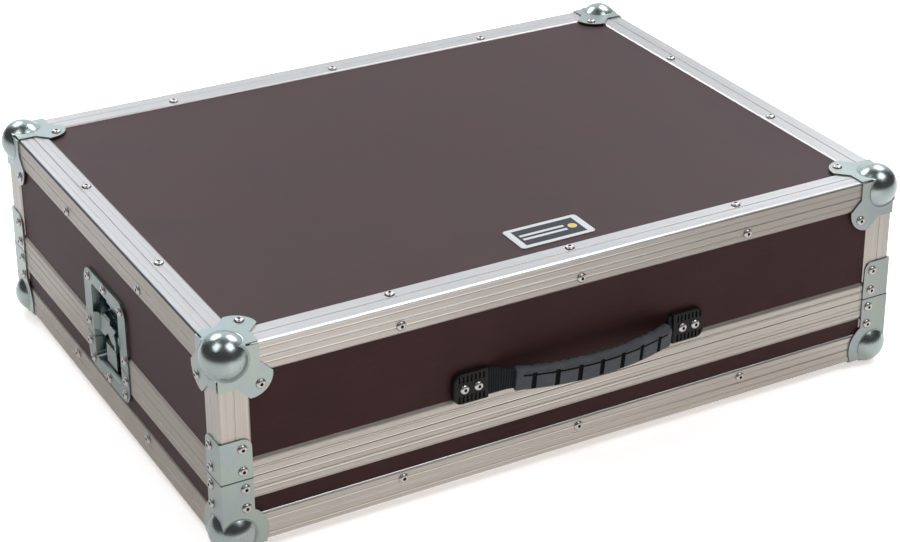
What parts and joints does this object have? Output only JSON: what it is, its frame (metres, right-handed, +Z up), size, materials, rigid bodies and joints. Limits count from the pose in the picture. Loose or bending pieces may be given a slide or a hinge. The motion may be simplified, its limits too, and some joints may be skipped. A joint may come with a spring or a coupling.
{
  "type": "mixer flight case",
  "caption": "Flat flight case for a mixing desk: brown plywood panels in an aluminium frame, steel ball corners, butterfly latches, lift-off lid and strap handle.",
  "frame": {"origin": "middle of the whole object's outline seen from above, at the height of the foot of the lower ball corners", "axes": "+X to the right along the long front, +Y from the front with the handle to the back, +Z up"},
  "size_m": [0.742, 0.582, 0.218],
  "materials": {
    "phenolic_ply": "satin",
    "aluminium": "satin",
    "zinc_steel": "satin",
    "rivet_steel": "polished",
    "lining_foam": "matte",
    "label_metal": "satin",
    "black_plastic": "matte",
    "webbing": "matte",
    "grip_rubber": "matte"
  },
  "bodies": {
    "tray": {"tray_base_panel": "phenolic_ply", "tray_front_panel": "phenolic_ply", "tray_right_panel": "phenolic_ply", "tray_back_panel": "phenolic_ply", "tray_left_panel": "phenolic_ply", "tray_bottom_angle_front": "aluminium", "tray_bottom_angle_right": "aluminium", "tray_bottom_angle_back": "aluminium", "tray_bottom_angle_left": "aluminium", "tray_closing_profile_front": "aluminium", "tray_closing_profile_right": "aluminium", "tray_closing_profile_back": "aluminium", "tray_closing_profile_left": "aluminium", "tray_corner_angles": "aluminium", "tray_ball_corners": "zinc_steel", "tray_rivets": "rivet_steel", "tray_foam": "lining_foam", "latch_keepers": "zinc_steel"},
    "lid": {"lid_top_panel": "phenolic_ply", "lid_front_panel": "phenolic_ply", "lid_right_panel": "phenolic_ply", "lid_back_panel": "phenolic_ply", "lid_left_panel": "phenolic_ply", "lid_top_angle_front": "aluminium", "lid_top_angle_right": "aluminium", "lid_top_angle_back": "aluminium", "lid_top_angle_left": "aluminium", "lid_closing_profile_front": "aluminium", "lid_closing_profile_right": "aluminium", "lid_closing_profile_back": "aluminium", "lid_closing_profile_left": "aluminium", "lid_corner_angle_front_left": "aluminium", "lid_corner_angle_front_right": "aluminium", "lid_corner_angle_back_right": "aluminium", "lid_corner_angle_back_left": "aluminium", "lid_ball_corners": "zinc_steel", "lid_corner_braces": "zinc_steel", "lid_rivets": "rivet_steel", "lid_foam": "lining_foam", "label_plate": "label_metal", "latch_dishes": "zinc_steel", "latch_guides": "zinc_steel", "latch_spindles": "zinc_steel", "handle_plates": "black_plastic", "handle_strap": "webbing"},
    "latch_left_cam": {"latch_cam_left": "zinc_steel", "latch_pin_left": "zinc_steel"},
    "latch_left_wing": {"latch_wing_left": "zinc_steel"},
    "latch_left_hook": {"latch_hook_left": "zinc_steel"},
    "latch_right_cam": {"latch_cam_right": "zinc_steel", "latch_pin_right": "zinc_steel"},
    "latch_right_wing": {"latch_wing_right": "zinc_steel"},
    "latch_right_hook": {"latch_hook_right": "zinc_steel"},
    "handle": {"handle_grip": "grip_rubber"}
  },
  "joints": [
    {"name": "lid_lift", "type": "slide", "parent": "tray", "child": "lid", "axis": [0, 0, 1], "range_m": [0, 0.25]},
    {"name": "latch_left_turn", "type": "hinge", "parent": "lid", "child": "latch_left_cam", "pos_m": [-0.362, 0.012, 0.106], "axis": [-1, 0, 0], "range_deg": [0, 180]},
    {"name": "latch_left_fold", "type": "hinge", "parent": "latch_left_cam", "child": "latch_left_wing", "pos_m": [-0.3609, 0.012, 0.113], "axis": [0, 1, 0], "range_deg": [0, 90]},
    {"name": "latch_left_hook_slide", "type": "slide", "parent": "lid", "child": "latch_left_hook", "axis": [0.3714, 0, 0.9285], "range_m": [0, 0.00647]},
    {"name": "latch_right_turn", "type": "hinge", "parent": "lid", "child": "latch_right_cam", "pos_m": [0.362, 0.012, 0.106], "axis": [1, 0, 0], "range_deg": [0, 180]},
    {"name": "latch_right_fold", "type": "hinge", "parent": "latch_right_cam", "child": "latch_right_wing", "pos_m": [0.3609, 0.012, 0.113], "axis": [0, -1, 0], "range_deg": [0, 90]},
    {"name": "latch_right_hook_slide", "type": "slide", "parent": "lid", "child": "latch_right_hook", "axis": [-0.3714, 0, 0.9285], "range_m": [0, 0.00647]},
    {"name": "handle_swing", "type": "hinge", "parent": "lid", "child": "handle", "pos_m": [0, -0.26, 0.1084], "axis": [1, 0, 0], "range_deg": [-30, 25], "deforming": ["handle_strap"]}
  ],
  "couplings": [
    {"joint": "latch_left_hook_slide", "follows": "latch_left_turn", "m_per_rad": 0.002057},
    {"joint": "latch_right_hook_slide", "follows": "latch_right_turn", "m_per_rad": 0.002057}
  ]
}
